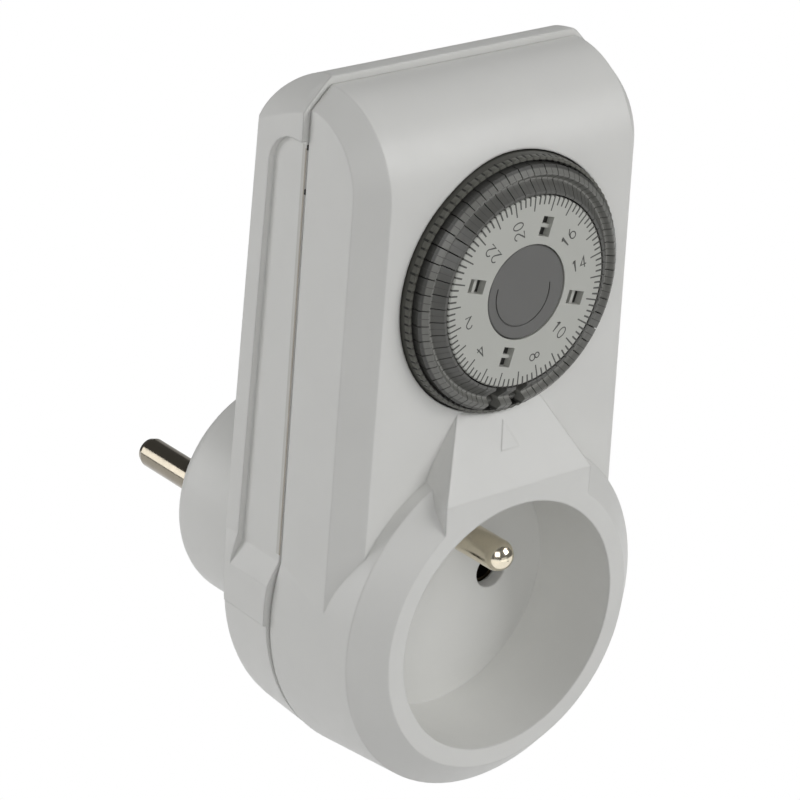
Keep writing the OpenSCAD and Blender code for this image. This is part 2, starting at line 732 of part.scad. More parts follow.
module motor_plate() color([0.78, 0.79, 0.8]) difference() {
    at_depth(motor_front) linear_extrude(1)
        polygon([[5.1 - half_w, 36], [-14, 33.5], [5, 33.5], [16.5, 35.5], [17.5, 42],
            [17.5, dial_z + 10.5], [12, dial_z + 17.5], [10.9 - half_w, dial_z + 15],
            [5.1 - half_w, dial_z + 8.5]]);
    for (p = [first_at, second_at, pinion_at])
        rod(motor_front - e, motor_front + 2, arbor_r + 0.02, p[0], p[1]);
    rod(motor_front - e, motor_front + 2, arbor_r + run_fit, motor_at[0], motor_at[1]);
}

module motor_can() color([0.75, 0.76, 0.77]) at_depth(motor_back, motor_at[0], motor_at[1])
    difference() {
        cylinder(r = motor_d / 2, h = motor_len);
        translate([0, 0, 0.7]) cylinder(r = motor_d / 2 - 0.7, h = motor_len);
        translate([0, 0, -e]) cylinder(r = arbor_r + run_fit, h = 4);
    }

module motor_coil() color([0.75, 0.42, 0.2]) at_depth(motor_back, motor_at[0], motor_at[1])
    difference() {
        translate([0, 0, 0.7]) cylinder(r = motor_d / 2 - 0.8, h = motor_len - 1.1);
        translate([0, 0, -e]) cylinder(r = motor_d / 2 - 3.7, h = motor_len + 2);
    }

module motor_rotor() color([0.3, 0.3, 0.32]) at_depth(motor_back, motor_at[0], motor_at[1]) {
    translate([0, 0, 1.3]) cylinder(r = motor_d / 2 - 4.3, h = motor_len - 2.7);
    translate([0, 0, 0.1]) cylinder(r = arbor_r, h = motor_len + 2.2);
    translate([0, 0, motor_len + 1.3])
        toothed(pinion_teeth, 1, motor_turn + 180 + 180 / pinion_teeth);
}

// ---- Dial -----------------------------------------------------------------------------

bed_d = dial_face - disc_t;
hub_r = post_r + 2.2;
hub_top = bed_d - 1.8;
post_top = hub_top + 0.1;
drum_r = disc_d / 2 - 0.2;
flange_back = front_depth - 3.8;
flange_front = flange_back + 1.5;
tappet_r = tappet_ring_d / 2;
slot_pitch = 360 / tappet_count;
tappet_in = disc_d / 2 + 0.2;
tappet_w = tappet_r - tappet_in;
leg_r = (drum_r + tappet_r) / 2;
// Deepest point of a tappet's leg when the tappet is out, and the pushed tappet's.
leg_back = flange_back - 0.1;
lever_finger = leg_back - tappet_travel - 0.05;

cap_r = cap_d / 2;
cap_gap = 0.12;                          // open gap round the hub cap

module dial_disc() color([0.68, 0.68, 0.67]) difference() {
    turned([[cap_r + cap_gap, bed_d], [disc_d / 2, bed_d], [disc_d / 2, dial_face - 0.2],
        [disc_d / 2 - 0.2, dial_face], [cap_r + cap_gap, dial_face]], 0, dial_z);
    at_depth(bed_d - e, 0, dial_z) for (h = [0 : 3]) rotate([0, 0, dial_turn + 90 * h])
        for (s = [-1, 1]) translate([window_r + s * (window_len + 0.55) / 4, 0, 2])
            cube([(window_len - 0.55) / 2, window_w, 6], center = true);
    at_depth(dial_face - 0.55, 0, dial_z) for (h = [0 : 3])
        rotate([0, 0, dial_turn + 90 * h]) translate([window_r - 0.4, -window_w / 2, 0])
            cube([0.8, window_w, 3]);
}

module hub_cap() color([0.4, 0.4, 0.4]) difference() {
    turned([[0, bed_d], [cap_r, bed_d], [cap_r, dial_face - 0.25],
        [cap_r - 0.2, dial_face - 0.05], [0, dial_face - 0.05]], 0, dial_z);
    // Thin groove round the finger rest.
    at_depth(dial_face - 0.25, -0.6, dial_z) rotate([0, 0, 162])
        rotate_extrude(angle = 206) translate([0.345 * cap_d, 0]) square([0.2, 1]);
}

module dial_screw() color([0.75, 0.75, 0.77]) difference() {
    union() {
        rod(post_top + 0.05, bed_d - 0.6, 4.2, 0, dial_z);
        rod(post_top - 5, post_top + 0.5, 1.1, 0, dial_z);
    }
    block([-4.5, bed_d - 1.1, dial_z - 0.4], [4.5, bed_d + e, dial_z + 0.4]);
}

module dial_carrier() color([0.1, 0.1, 0.1]) {
    difference() {
        union() {
            at_depth(dial_gear_d, 0, dial_z) toothed(dial_teeth, 1.4, pinion_turn);
            turned([[0, dial_gear_d - 0.2], [hub_r, dial_gear_d - 0.2], [hub_r, hub_top],
                [0, hub_top]], 0, dial_z);
            turned([[0, dial_gear_d + 1.5], [0, dial_gear_d + 3], [drum_r - 1.6, dial_gear_d + 3],
                [drum_r - 1.6, bed_d - 1.5], [4.6, bed_d - 1.5], [4.6, bed_d],
                [drum_r, bed_d], [drum_r, dial_gear_d + 1.6], [dial_gear_r - 2, dial_gear_d + 1.6],
                [dial_gear_r - 2, dial_gear_d + 1.3], [0, dial_gear_d + 1.3]], 0, dial_z);
            turned([[drum_r - 1, flange_back], [tappet_r + 1, flange_back],
                [tappet_r + 1, flange_front], [tappet_r + 0.33, flange_front],
                [tappet_r + 0.33, front_depth + 1.1], [tappet_r + 0.1, front_depth + 1.1],
                [tappet_r + 0.1, flange_front], [drum_r - 1, flange_front]], 0, dial_z);
        }
        rod(dial_gear_d - 2, 60, post_r + run_fit, 0, dial_z);
        at_depth(flange_back - e, 0, dial_z) for (k = [0 : tappet_count - 1])
            rotate([0, 0, dial_turn + (k + 0.5) * slot_pitch])
                translate([leg_r - 0.8, -0.8, 0]) cube([1.6, 1.6, 4]);
    }
}

module scale_ring() color([0.4, 0.4, 0.4]) {
    r1 = dial_hole_r - dial_fit;
    turned([[tappet_r + 0.35, flange_front], [r1, flange_front], [r1, front_depth - 0.3],
        [r1 - 0.3, front_depth + 1.5], [tappet_r + 0.35, front_depth + 1.5]], 0, dial_z);
}

// Tappet number k, pushed in by s.
module tappet(k, s) {
    r = tappet_in;
    w = tappet_w;
    at_depth(-s, 0, dial_z) {
        rotate([0, 0, dial_turn + k * slot_pitch + tappet_gap / 2])
            rotate_extrude(angle = slot_pitch - tappet_gap, $fn = 144)
                polygon([[r, front_depth - 0.3], [r, front_depth + 4],
                    [r + 0.104 * w, front_depth + 4], [r + 0.44 * w, front_depth + 2.6],
                    [r + 0.52 * w, front_depth + 2.6], [r + 0.675 * w, front_depth + 3.4],
                    [r + 0.727 * w, front_depth + 3.45], [tappet_r, front_depth + 2.5],
                    [tappet_r, front_depth - 0.3]]);
        rotate([0, 0, dial_turn + (k + 0.5) * slot_pitch])
            translate([leg_r - 0.7, -0.75, leg_back])
                cube([1.4, 1.5, front_depth - leg_back]);
    }
}

function is_in(k, list) = len(search(k, list)) > 0;

module tappets() color([0.38, 0.38, 0.38]) for (k = [0 : tappet_count - 1])
    if (!is_in(k, jointed)) tappet(k, 0);

module tappet_8() color([0.38, 0.38, 0.38]) tappet(8, 0);

module tappet_9() color([0.38, 0.38, 0.38]) tappet(9, 0);

module tappet_10() color([0.38, 0.38, 0.38]) tappet(10, 0);

module tappet_11() color([0.38, 0.38, 0.38]) tappet(11, 0);

module tappet_12() color([0.38, 0.38, 0.38]) tappet(12, tappet_travel);

module tappet_13() color([0.38, 0.38, 0.38]) tappet(13, 0);

module tappet_14() color([0.38, 0.38, 0.38]) tappet(14, tappet_travel);

module tappet_15() color([0.38, 0.38, 0.38]) tappet(15, 0);

module tappet_16() color([0.38, 0.38, 0.38]) tappet(16, 0);

module tappet_17() color([0.38, 0.38, 0.38]) tappet(17, 0);

module tappet_18() color([0.38, 0.38, 0.38]) tappet(18, 0);

module tappet_19() color([0.38, 0.38, 0.38]) tappet(19, 0);

front_shell();
rear_shell();
case_screws();
plug_pin_left();
plug_pin_right();
earth_pin();
earth_strip();
earth_sleeve();
socket_contact_left();
socket_contact_right();
neutral_busbar();
supply_busbar();
switched_busbar();
dial_disc();
dial_carrier();
scale_ring();
hub_cap();
dial_screw();
tappets();
mechanism_plate();
plate_screws();
arbors();
dial_pinion();
clutch_wheel();
second_wheel();
first_wheel();
motor_can();
motor_coil();
motor_rotor();
motor_plate();
trip_lever();
lever_pin();
switch_case();
switch_lid();
switch_plunger();
contact_blade();
fixed_contact();
tappet_8();
tappet_9();
tappet_10();
tappet_11();
tappet_12();
tappet_13();
tappet_14();
tappet_15();
tappet_16();
tappet_17();
tappet_18();
tappet_19();
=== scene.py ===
"""Looks of the plug-in timer switch. Metres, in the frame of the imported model."""
import bpy
import bmesh
import json
import math
from mathutils import Matrix, Vector


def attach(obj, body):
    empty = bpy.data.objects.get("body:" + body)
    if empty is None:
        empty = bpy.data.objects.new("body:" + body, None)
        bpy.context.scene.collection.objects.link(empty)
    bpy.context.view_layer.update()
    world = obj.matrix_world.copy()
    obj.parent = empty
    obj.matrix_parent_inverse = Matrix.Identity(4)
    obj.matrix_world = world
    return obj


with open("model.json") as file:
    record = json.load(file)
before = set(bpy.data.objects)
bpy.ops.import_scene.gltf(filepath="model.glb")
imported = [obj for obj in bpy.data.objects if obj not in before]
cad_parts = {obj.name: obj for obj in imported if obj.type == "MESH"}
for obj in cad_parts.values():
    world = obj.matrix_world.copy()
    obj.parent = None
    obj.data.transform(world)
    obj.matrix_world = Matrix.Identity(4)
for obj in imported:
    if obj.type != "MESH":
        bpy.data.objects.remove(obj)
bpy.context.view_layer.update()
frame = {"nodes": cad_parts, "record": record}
nodes = frame["nodes"]
scene = bpy.context.scene
HOUSING = [b for b, n in frame["record"]["behaviour"]["bodies"].items() if "front_shell" in n][0]
DIAL = "dial"

MM = 0.001
DIAL_Z = 51.5           # height of the dial's axis
TURN = 163.5            # where hour 0 stands, anticlockwise from +X seen from the front
HOUR = 15               # degrees of the dial to an hour
QUARTER = 3.75          # and to a quarter of an hour
TAPPET_STEP = 7.5       # and to a tappet
TAPPETS = 48
QUARTERS = 96
FACE = 55.9             # depth of the disc's face
FRONT = 51.8            # depth of the housing's front face
TRAVEL = 1.8            # how far a pushed tappet is sunk
PUSHED = (12, 14)
JOINTED = range(8, 20)  # the tappets with a node of their own
NUMERAL_R = 9.75        # radius of the middle of the numerals
SIDE_X = 27.0           # half width of the housing at the socket's axis
SIDE_LEAN = 1.1         # degrees that its sides lean inwards


# ---------------------------------------------------------------- camera
CAMERA_AT = (-305.223, -389.084, 233.721)
CAMERA_TURN = (-40.388, 23.867, 3.668)      # azimuth, elevation and roll in degrees


def make_camera():
    az, el, roll = (math.radians(v) for v in CAMERA_TURN)
    back = Vector((math.sin(az) * math.cos(el), -math.cos(az) * math.cos(el), math.sin(el)))
    right = Vector((math.cos(az), math.sin(az), 0))
    up = back.cross(right)
    x = right * math.cos(roll) + up * math.sin(roll)
    y = up * math.cos(roll) - right * math.sin(roll)
    cam = bpy.data.cameras.new("camera")
    cam.lens = 157.6
    cam.sensor_width = 36
    cam.clip_start = 0.05
    cam.clip_end = 20
    ob = bpy.data.objects.new("camera", cam)
    m = Matrix((x, y, back)).transposed().to_4x4()
    m.translation = Vector(CAMERA_AT) * MM
    ob.matrix_world = m
    scene.collection.objects.link(ob)
    scene.camera = ob


# ---------------------------------------------------------------- materials
def srgb(*c):
    """The linear colour of an sRGB one given in 0 to 255."""
    out = []
    for v in c:
        v = v / 255
        out.append(v / 12.92 if v <= 0.04045 else ((v + 0.055) / 1.055) ** 2.4)
    return (*out, 1)


class Mat:
    """A material with object coordinates in millimetres ready to feed its textures."""

    def __init__(self, name, colour, rough=0.5, metallic=0.0, edge=0.0):
        self.m = bpy.data.materials.new(name)
        self.m.use_nodes = True
        self.t = self.m.node_tree
        self.b = self.t.nodes["Principled BSDF"]
        self.b.inputs["Base Color"].default_value = colour
        self.b.inputs["Roughness"].default_value = rough
        self.b.inputs["Metallic"].default_value = metallic
        self.m.diffuse_color = colour
        self.colour = colour
        self.normal = None
        co = self.n("ShaderNodeTexCoord")
        mp = self.n("ShaderNodeMapping")
        mp.inputs["Scale"].default_value = (1000, 1000, 1000)
        self.l(co.outputs["Object"], mp.inputs["Vector"])
        self.mm = mp.outputs["Vector"]
        if edge:
            be = self.n("ShaderNodeBevel")
            be.samples = 6
            be.inputs["Radius"].default_value = edge * MM
            self.normal = be.outputs["Normal"]
            self.l(self.normal, self.b.inputs["Normal"])

    def n(self, kind):
        return self.t.nodes.new(kind)

    def l(self, a, b):
        self.t.links.new(a, b)

    def noise(self, scale, detail=3.0, rough=0.55, stretch=None):
        n = self.n("ShaderNodeTexNoise")
        n.inputs["Scale"].default_value = scale
        n.inputs["Detail"].default_value = detail
        n.inputs["Roughness"].default_value = rough
        v = self.mm
        if stretch:
            mp = self.n("ShaderNodeMapping")
            mp.inputs["Scale"].default_value = stretch
            self.l(v, mp.inputs["Vector"])
            v = mp.outputs["Vector"]
        self.l(v, n.inputs["Vector"])
        return n.outputs["Fac"]

    def bump(self, height, strength, distance_mm):
        n = self.n("ShaderNodeBump")
        n.inputs["Strength"].default_value = strength
        n.inputs["Distance"].default_value = distance_mm * MM
        self.l(height, n.inputs["Height"])
        if self.normal:
            self.l(self.normal, n.inputs["Normal"])
        self.normal = n.outputs["Normal"]
        self.l(self.normal, self.b.inputs["Normal"])

    def vary(self, fac, low, high, a=0.3, b=0.7):
        """Mixes the base colour between two multiples of itself."""
        r = self.n("ShaderNodeValToRGB")
        r.color_ramp.elements[0].position = a
        r.color_ramp.elements[1].position = b
        r.color_ramp.elements[0].color = (*(v * low for v in self.colour[:3]), 1)
        r.color_ramp.elements[1].color = (*(min(1, v * high) for v in self.colour[:3]), 1)
        self.l(fac, r.inputs["Fac"])
        self.l(r.outputs["Color"], self.b.inputs["Base Color"])

    def vary_rough(self, fac, low, high):
        r = self.n("ShaderNodeMapRange")
        r.inputs["From Min"].default_value = 0.3
        r.inputs["From Max"].default_value = 0.7
        r.inputs["To Min"].default_value = low
        r.inputs["To Max"].default_value = high
        self.l(fac, r.inputs["Value"])
        self.l(r.outputs["Result"], self.b.inputs["Roughness"])


def plastic(name, colour, rough=0.45, grain=5.0, grain_mm=0.012, mottle=0.03, edge=0.0):
    """Moulded plastic with faint mottling, a fine grain and slightly sunk walls."""
    m = Mat(name, colour, rough, edge=edge)
    m.vary(m.noise(0.09, 4.0), 1 - mottle, 1 + mottle / 2)
    m.vary_rough(m.noise(0.6, 3.0), rough - 0.04, rough + 0.06)
    m.bump(m.noise(grain, 2.0, 0.6), 0.35, grain_mm)
    m.bump(m.noise(0.05, 1.0), 0.25, 0.06)
    return m.m


def tappet_plastic(name, colour):
    """Dark plastic: painted lighter on the outer slope, a painted highlight on the crest, painted
    shade on the inner slope.
    """
    inner, outer = 14, 19
    # radius on the dial, and the colour's multiple there, which paints the light and shade; darker
    # past 17.8 mm
    light_and_shade_stops = ((14.2, 0.62), (15.6, 0.7), (16.05, 0.9), (16.2, 1.6), (16.4, 1.6), (16.55, 1.1),
             (17.7, 1.15), (17.85, 0.4), (18.3, 0.4))
    m = Mat(name, colour, 0.34, edge=0.12)
    off = m.n("ShaderNodeVectorMath")
    off.operation = "SUBTRACT"
    off.inputs[1].default_value = (0, 0, DIAL_Z)
    flat = m.n("ShaderNodeVectorMath")
    flat.operation = "MULTIPLY"
    flat.inputs[1].default_value = (1, 0, 1)
    dist = m.n("ShaderNodeVectorMath")
    dist.operation = "LENGTH"
    m.l(m.mm, off.inputs[0])
    m.l(off.outputs["Vector"], flat.inputs[0])
    m.l(flat.outputs["Vector"], dist.inputs[0])
    span = m.n("ShaderNodeMapRange")
    span.inputs["From Min"].default_value = inner
    span.inputs["From Max"].default_value = outer
    m.l(dist.outputs["Value"], span.inputs["Value"])
    r = m.n("ShaderNodeValToRGB")
    els = r.color_ramp.elements
    while len(els) < len(light_and_shade_stops):
        els.new(0.5)
    for e, (at, k) in zip(els, light_and_shade_stops):
        e.position = (at - inner) / (outer - inner)
        e.color = (*(min(1, v * k) for v in colour[:3]), 1)
    m.l(span.outputs["Result"], r.inputs["Fac"])
    m.l(r.outputs["Color"], m.b.inputs["Base Color"])
    m.vary_rough(m.noise(0.6, 3.0), 0.3, 0.4)
    m.bump(m.noise(6.0, 2.0, 0.6), 0.35, 0.006)
    return m.m


def metal(name, colour, rough=0.25, brush=None, strength=0.25):
    """Metal with a faint mottle and a grain, which brush draws out."""
    m = Mat(name, colour, rough, metallic=1.0)
    m.vary(m.noise(0.4, 4.0), 0.9, 1.04)
    m.vary_rough(m.noise(1.2, 4.0), rough * 0.7, rough * 1.4)
    m.bump(m.noise(6.0, 3.0, 0.6, brush), strength, 0.01)
    return m.m


DRAWN = (1, 0.05, 1)    # a grain drawn out along the pins
MATS = {
    "housing": plastic("housing", srgb(224, 224, 221), 0.42, 3.0, 0.02, 0.02, 0.45),
    "pin_metal": metal("pin_metal", srgb(206, 203, 196), 0.16, DRAWN),
    "spring_brass": metal("spring_brass", srgb(214, 180, 110), 0.28),
    "copper": metal("copper", srgb(205, 140, 105), 0.3),
    "dial_face": plastic("dial_face", srgb(188, 189, 183), 0.36, 6.0, 0.006, 0.015, 0.08),
    "dial_dark": plastic("dial_dark", srgb(107, 107, 103), 0.34, 6.0, 0.006, 0.04, 0.12),
    "black_plastic": plastic("black_plastic", srgb(46, 46, 43), 0.4, 5.0, 0.01, 0.04, 0.1),
    "natural_plastic": plastic("natural_plastic", srgb(226, 224, 212), 0.4, 3.0, 0.01),
    "clutch_plastic": plastic("clutch_plastic", srgb(120, 150, 185), 0.4, 3.0, 0.01),
    "steel": metal("steel", srgb(200, 200, 200), 0.24),
    "motor_steel": metal("motor_steel", srgb(198, 200, 202), 0.32, (1, 6, 1)),
    "winding": plastic("winding", srgb(150, 75, 35), 0.3, 2.0, 0.05),
    "magnet": plastic("magnet", srgb(52, 52, 54), 0.5, 3.0, 0.02),
    "lever_brown": plastic("lever_brown", srgb(108, 74, 60), 0.4, 4.0, 0.01),
    "plunger_red": plastic("plunger_red", srgb(190, 60, 40), 0.35, 4.0, 0.01),
}
SLOT = {s["node"]: s["material_slot"] for s in frame["record"]["subparts"]}
for name, ob in nodes.items():
    ob.data.materials.clear()
    ob.data.materials.append(MATS[SLOT[name]])
# print for the ticks and numerals, also used as painted shade in the disc's rim notches
PRINT_AND_SHADE = plastic("scale_print_and_shade", srgb(84, 84, 81), 0.5, 6.0, 0.004)
GROOVE = plastic("groove_shade", srgb(40, 40, 38), 0.6, 6.0, 0.004)
SEAM = plastic("seam_shade", srgb(84, 84, 81), 0.5, 6.0, 0.004)
EDGE = plastic("edge_shade", srgb(206, 205, 200), 0.5, 3.0, 0.01, 0.02)
LINE = plastic("joint_shade", srgb(170, 162, 150), 0.6, 3.0, 0.01, 0.05)
SKIRT_LAND = plastic("skirt_land", srgb(98, 98, 91), 0.36, 6.0, 0.006, 0.05)
SKIRT = plastic("skirt_plastic", srgb(74, 74, 68), 0.38, 6.0, 0.008, 0.05, 0.1)
nodes["scale_ring"].data.materials[0] = SKIRT
nodes["hub_cap"].data.materials[0] = plastic("cap_plastic", srgb(102, 102, 100), 0.36, 6.0,
                                             0.006, 0.03, 0.12)
# the tappets carry painted light and shade by radius
TAPPET = tappet_plastic("tappet_plastic", srgb(112, 112, 108))
for name in nodes:
    if name.startswith("tappet"):
        nodes[name].data.materials[0] = TAPPET
# metal darkened as painted shade inside the socket and earth holes
HOLE_SHADE_METAL = metal("hole_shade_metal", srgb(78, 70, 54), 0.45)
for name in ("socket_contact_left", "socket_contact_right", "earth_sleeve"):
    nodes[name].data.materials[0] = HOLE_SHADE_METAL
PIN = metal("pin_nickel", srgb(146, 139, 126), 0.14, DRAWN, 0.15)
for name in ("plug_pin_left", "plug_pin_right"):
    nodes[name].data.materials[0] = PIN
nodes["earth_pin"].data.materials[0] = metal("earth_nickel", srgb(238, 228, 206), 0.17,
                                             DRAWN, 0.2)


# ---------------------------------------------------------------- mesh helpers
def piece(name, bm, mat, body):
    """Makes the mesh a visible piece that rides on a body."""
    me = bpy.data.meshes.new(name)
    bmesh.ops.recalc_face_normals(bm, faces=bm.faces)
    bm.to_mesh(me)
    bm.free()
    me.materials.append(mat)
    ob = bpy.data.objects.new(name, me)
    scene.collection.objects.link(ob)
    me.shade_smooth()
    me.set_sharp_from_angle(angle=math.radians(35))
    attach(ob, body)
    return ob


def spot(r, a, d):
    """The place at radius r and angle a on the dial, at a depth, in millimetres."""
    return Vector((r * math.cos(math.radians(a)), -d, DIAL_Z + r * math.sin(math.radians(a)))) * MM


def prism(bm, low, high):
    """A closed block between two loops of as many points."""
    a = [bm.verts.new(p) for p in low]
    b = [bm.verts.new(p) for p in high]
    bm.faces.new(a[::-1])
    bm.faces.new(b)
    for i in range(len(a)):
        j = (i + 1) % len(a)
        bm.faces.new((a[i], a[j], b[j], b[i]))


def bar(bm, a, r0, r1, w0, w1, d0, d1):
    """A radial bar at the angle a, w0 wide at r0 and w1 wide at r1, from depth d0 to d1."""
    def loop(d):
        out = []
        for r, w, s in ((r0, w0, -1), (r1, w1, -1), (r1, w1, 1), (r0, w0, 1)):
            da = math.degrees(math.atan2(s * w / 2, r))
            out.append(spot(math.hypot(r, w / 2), a + da, d))
        return out
    prism(bm, loop(d0), loop(d1))


# ---------------------------------------------------------------- dial
def disc_ticks():
    """A mark every quarter of an hour, longer on the hour, each ending at the rim in a dark block
    of painted shade for a notch.
    """
    bm = bmesh.new()
    shaded_notches = bmesh.new()
    for k in range(QUARTERS):
        a = TURN + k * QUARTER
        hour = k % 4 == 0
        bar(bm, a, 11.95 if hour else 12.85, 13.9, 0.2 if hour else 0.24,
            0.24 if hour else 0.28, FACE - 0.03, FACE + 0.01)
        # painted shade: a dark block where the notch at the rim is in shade
        bar(shaded_notches, a, 13.7, 14.12, 0.16, 0.26, FACE - 0.3, FACE + 0.013)
    piece("disc_ticks", bm, PRINT_AND_SHADE, DIAL)
    piece("disc_notch_shade", shaded_notches, PRINT_AND_SHADE, DIAL)


def ellipse(cx, cy, rx, ry, a0, a1, n=20):
    """Points along part of an ellipse, from the angle a0 to a1."""
    return [(cx + rx * math.cos(math.radians(a0 + (a1 - a0) * i / n)),
             cy + ry * math.sin(math.radians(a0 + (a1 - a0) * i / n))) for i in range(n + 1)]


# Strokes of each digit, in a box one unit high.
DIGITS = {
    "0": [ellipse(0.3, 0.5, 0.29, 0.5, 0, 360, 28)],
    "1": [[(0.12, 0.78), (0.34, 1.0), (0.34, 0.0)]],
    "2": [ellipse(0.3, 0.71, 0.28, 0.29, 165, -35) + [(0.02, 0.0), (0.6, 0.0)]],
    "4": [[(0.62, 0.27), (0.02, 0.27), (0.42, 1.0), (0.42, 0.0)]],
    "6": [ellipse(0.3, 0.31, 0.29, 0.31, 0, 360, 24), [(0.02, 0.36), (0.1, 0.68), (0.42, 1.0)]],
    "8": [ellipse(0.3, 0.27, 0.29, 0.27, 0, 360, 24), ellipse(0.3, 0.77, 0.23, 0.23, 0, 360, 20)],
}


def stroke(bm, points, width, place):
    """A thin flat ribbon along points; place maps a point and a height to the dial."""
    closed = math.dist(points[0], points[-1]) < 1e-6
    if closed:
        points = points[:-1]
    n = len(points)
    rows = []
    for i, p in enumerate(points):
        q = points[(i + 1) % n] if closed or i < n - 1 else p
        o = points[i - 1] if closed or i else p
        d = Vector((q[0] - o[0], q[1] - o[1])).normalized()
        u = Vector((p[0] - o[0], p[1] - o[1]))
        v = Vector((q[0] - p[0], q[1] - p[1]))
        k = 1.0
        if u.length > 1e-6 and v.length > 1e-6:
            k = 1 / max(0.45, math.cos(u.angle(v) / 2))
        side = Vector((-d.y, d.x)) * (width / 2 * k)
        rows.append([bm.verts.new(place(p[0] + s * side.x, p[1] + s * side.y, h))
                     for s, h in ((-1, 0), (1, 0), (1, 1), (-1, 1))])
    for i in range(n if closed else n - 1):
        a, b = rows[i], rows[(i + 1) % n]
        for j in range(4):
            bm.faces.new((a[j], a[(j + 1) % 4], b[(j + 1) % 4], b[j]))
    if not closed:
        bm.faces.new(rows[0][::-1])
        bm.faces.new(rows[-1])


def numerals():
    """Even hours but 6, 12, 18 and 24, each read outwards along its own radius."""
    tall, step, thick = 1.75, 1.55, 0.18
    bm = bmesh.new()
    for h in range(2, 25, 2):
        if h in (6, 12, 18, 24):
            continue
        text = str(h)
        a = TURN + HOUR * h
        long = step + 0.6 * tall
        for i, c in enumerate(text):
            def place(x, y, up):
                u = NUMERAL_R - long / 2 + (i + 2 - len(text)) * step + x * tall
                v = (y - 0.5) * tall
                return spot(math.hypot(u, v), a + math.degrees(math.atan2(v, u)),
                            FACE - 0.02 + 0.03 * up)
            for points in DIGITS[c]:
                stroke(bm, points, thick / tall, place)
    piece("hour_numerals", bm, PRINT_AND_SHADE, DIAL)


def tappet_seams():
    """The faint line down the middle of each tappet, over its outer wall and inner slope."""
    r0, w = 14.3, 3.85
    half, lift = 0.05, 0.015
    profile = [(r0, 3.0), (r0, 4.0), (r0 + 0.104 * w, 4.0), (r0 + 0.44 * w, 2.6),
               (r0 + 0.52 * w, 2.6), (r0 + 0.675 * w, 3.4), (r0 + 0.727 * w, 3.45),
               (r0 + w, 2.5), (r0 + w, 0.5)]
    fixed = bmesh.new()
    for k in range(TAPPETS):
        bm = bmesh.new() if k in JOINTED else fixed
        sink = TRAVEL if k in PUSHED else 0
        a = TURN + (k + 0.5) * TAPPET_STEP
        for (ra, da), (rb, db) in zip(profile, profile[1:]):
            # a shallow strip that reaches as far below the surface as above it
            out = Vector((-(db - da), rb - ra)).normalized() * lift
            if rb == ra:
                out = Vector((lift if ra > 16 else -lift, 0))

            def loop(up):
                return [spot(math.hypot(r + up * out.x, half),
                             a + math.degrees(math.atan2(side * half, r)),
                             FRONT + d + up * abs(out.y) - sink)
                        for r, d, side in ((ra, da, -1), (ra, da, 1), (rb, db, 1), (rb, db, -1))]
            prism(bm, loop(-1), loop(1))
        if k in JOINTED:
            piece("seam_%d" % k, bm, SEAM, "tappet_%d_body" % k)
    piece("tappet_seams", fixed, SEAM, DIAL)


def skirt():
    """Quarter-hour notches round the scale ring, drawn as dark strips of painted shade, with
    rounded lands between them.
    """
    r_low, r_high = 19.15, 18.85
    d_low, d_high = FRONT - 0.3, FRONT + 1.5
    cells, filled = 8, 0.72             # of a land, and the share of the pitch that it fills
    shaded_grooves = bmesh.new()
    lands = bmesh.new()
    for k in range(QUARTERS):
        a = TURN + k * QUARTER
        hour = k % 4 == 0
        d0 = FRONT + (0.35 if hour else 0.6)
        d1 = FRONT + 1.25
        w = 0.3 if hour else 0.22

        def rim(d):
            return r_low + (r_high - r_low) * (d - d_low) / (d_high - d_low)
        low = []
        high = []
        for d, s in ((d0, -1), (d1, -1), (d1, 1), (d0, 1)):
            da = math.degrees(math.atan2(s * w / 2, rim(d)))
            low.append(spot(rim(d) - 0.1, a + da, d))
            high.append(spot(rim(d) + 0.012, a + da, d))
        # painted shade: a dark strip where the notch is
        prism(shaded_grooves, low, high)
        # a rounded land between two notches, fading out downwards
        b = a + QUARTER / 2
        rows = []
        for d, grow in ((FRONT + 0.62, 0.0), (FRONT + 0.85, 0.05), (FRONT + 1.15, 0.1),
                        (d_high, 0.1)):
            row = []
            for i in range(cells + 1):
                t = (i / cells - 0.5) * QUARTER * filled
                bulge = grow * math.cos((i / cells - 0.5) * math.pi)
                row.append(lands.verts.new(spot(rim(d) - 0.004 + bulge, b + t, d)))
            rows.append(row)
        rows.append([lands.verts.new(spot(rim(d_high) - 0.35,
                                          b + (i / cells - 0.5) * QUARTER * filled,
                                          d_high + 0.02)) for i in range(cells + 1)])
        for p, q in zip(rows, rows[1:]):
            for i in range(cells):
                lands.faces.new((p[i], p[i + 1], q[i + 1], q[i]))
    piece("skirt_notch_shade", shaded_grooves, GROOVE, DIAL)
    piece("skirt_lands", lands, SKIRT_LAND, DIAL)


def crown():
    """Fine teeth on the black crown between the scale ring and the tappets."""
    bm = bmesh.new()
    for k in range(QUARTERS):
        a = TURN + k * QUARTER + 1.2
        bar(bm, a, 18.27, 18.47, 0.5, 0.5, FRONT + 1.0, FRONT + 1.35)
    piece("crown_teeth", bm, MATS["black_plastic"], DIAL)


# ---------------------------------------------------------------- joint of the two shells
def slab(bm, side, z0, z1, d0, d1, lift, thick):
    """A flat strip on the leaning side, lifted off it, from depth d0 to d1."""
    def x(z):
        return SIDE_X - z * math.tan(math.radians(SIDE_LEAN)) + lift
    loops = []
    for t in (0, thick):
        loops.append([Vector((side * (x(z) - t), -d, z)) * MM
                      for z, d in ((z0, d0), (z0, d1), (z1, d1), (z1, d0))])
    prism(bm, loops[0], loops[1])


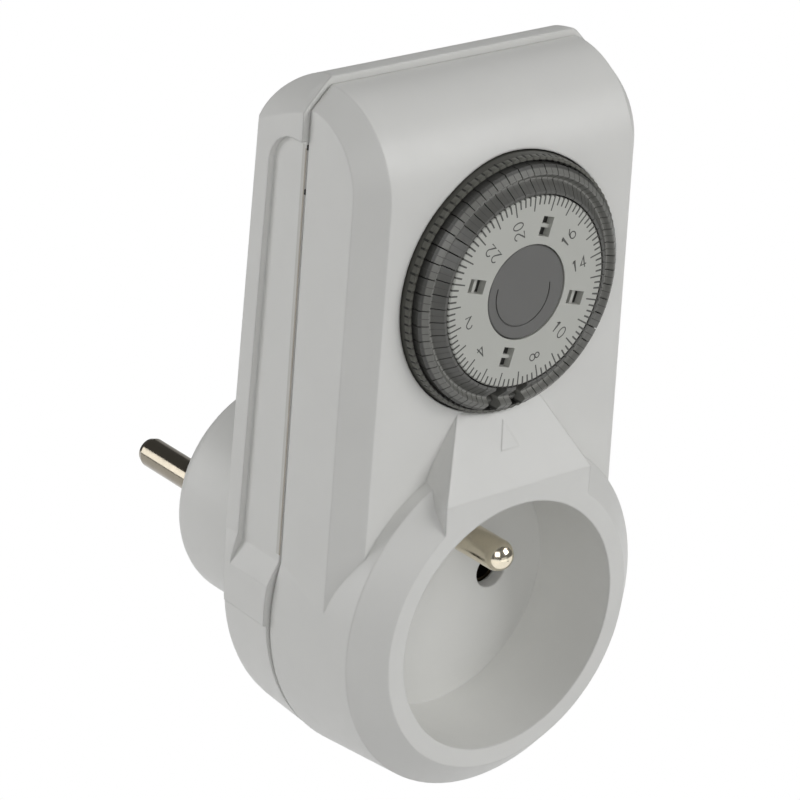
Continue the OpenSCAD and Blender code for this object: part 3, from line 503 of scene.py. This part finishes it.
def joint():
    """Painted shade for the soft edge of the rear shell's side along the joint and for the joint
    line, and the gaps at the snap hooks in painted shade.
    """
    edge = bmesh.new()
    line = bmesh.new()
    gaps = bmesh.new()
    for side in (-1, 1):
        # painted shade: flat darker strips lifted off the side
        slab(edge, side, 10, 72, 36.65, 37.3, 0.012, 0.03)
        slab(line, side, 10, 71.5, 37.3, 37.56, 0.014, 0.03)
        for z in (71.6, 65.2):
            slab(gaps, side, z - 0.3, z + 0.4, 37.54, 37.76, 0.016, 0.4)
    piece("joint_edge_shade", edge, EDGE, HOUSING)
    piece("joint_line", line, LINE, HOUSING)
    piece("joint_gaps", gaps, GROOVE, HOUSING)


disc_ticks()
joint()
numerals()
tappet_seams()
skirt()
crown()


# ---------------------------------------------------------------- light, floor, world
LAMP_AIM = (0, -0.03, 0.03)
LAMP_SIZE = 0.6


def area(name, loc, power):
    """A square lamp that looks at the middle of the part."""
    li = bpy.data.lights.new(name, "AREA")
    li.shape = "RECTANGLE"
    li.size = li.size_y = LAMP_SIZE
    li.energy = power
    ob = bpy.data.objects.new(name, li)
    ob.location = loc
    ob.rotation_euler = (Vector(LAMP_AIM) - Vector(loc)).to_track_quat("-Z", "Y").to_euler()
    scene.collection.objects.link(ob)


def background(strength_seen, strength_lit):
    """White where the camera sees it, and faint where it lights the part."""
    w = bpy.data.worlds.new("studio")
    scene.world = w
    w.use_nodes = True
    t = w.node_tree
    bg = t.nodes["Background"]
    lp = t.nodes.new("ShaderNodeLightPath")
    r = t.nodes.new("ShaderNodeMapRange")
    r.inputs["To Min"].default_value = strength_lit
    r.inputs["To Max"].default_value = strength_seen
    t.links.new(lp.outputs["Is Camera Ray"], r.inputs["Value"])
    bg.inputs["Color"].default_value = (1, 1, 1, 1)
    t.links.new(r.outputs["Result"], bg.inputs["Strength"])


def floor():
    """A grey floor that the camera and the gloss see as white."""
    bm = bmesh.new()
    bmesh.ops.create_grid(bm, x_segments=1, y_segments=1, size=1.5)
    me = bpy.data.meshes.new("floor")
    bm.to_mesh(me)
    bm.free()
    ob = bpy.data.objects.new("floor", me)
    ob.location = (0, 0, -0.35)
    scene.collection.objects.link(ob)
    m = bpy.data.materials.new("floor")
    m.use_nodes = True
    t = m.node_tree
    b = t.nodes["Principled BSDF"]
    b.inputs["Base Color"].default_value = (0.8, 0.8, 0.8, 1)
    b.inputs["Roughness"].default_value = 0.9
    e = t.nodes.new("ShaderNodeEmission")
    e.inputs["Color"].default_value = (1, 1, 1, 1)
    e.inputs["Strength"].default_value = 1.0
    lp = t.nodes.new("ShaderNodeLightPath")
    mix = t.nodes.new("ShaderNodeMixShader")
    mx = t.nodes.new("ShaderNodeMath")
    mx.operation = "MAXIMUM"
    t.links.new(lp.outputs["Is Camera Ray"], mx.inputs[0])
    t.links.new(lp.outputs["Is Glossy Ray"], mx.inputs[1])
    t.links.new(mx.outputs[0], mix.inputs["Fac"])
    t.links.new(b.outputs[0], mix.inputs[1])
    t.links.new(e.outputs[0], mix.inputs[2])
    t.links.new(mix.outputs[0], t.nodes["Material Output"].inputs["Surface"])
    me.materials.append(m)


make_camera()
background(1.0, 0.12)
floor()
area("front_right", (0.55, -0.85, 0.6), 5.1)
area("left_back", (-0.8, 0.6, 0.2), 3.6)
area("right_back", (0.75, 0.75, 0.1), 0.4)
area("right_top", (0.8, 0.1, 0.7), 0.8)
area("top", (0, 0.05, 1.1), 0.8)
area("front_left", (-0.65, -0.8, 0.5), 2.9)
area("low_front", (0.1, -0.9, -0.25), 0.6)
scene.view_settings.view_transform = "Standard"
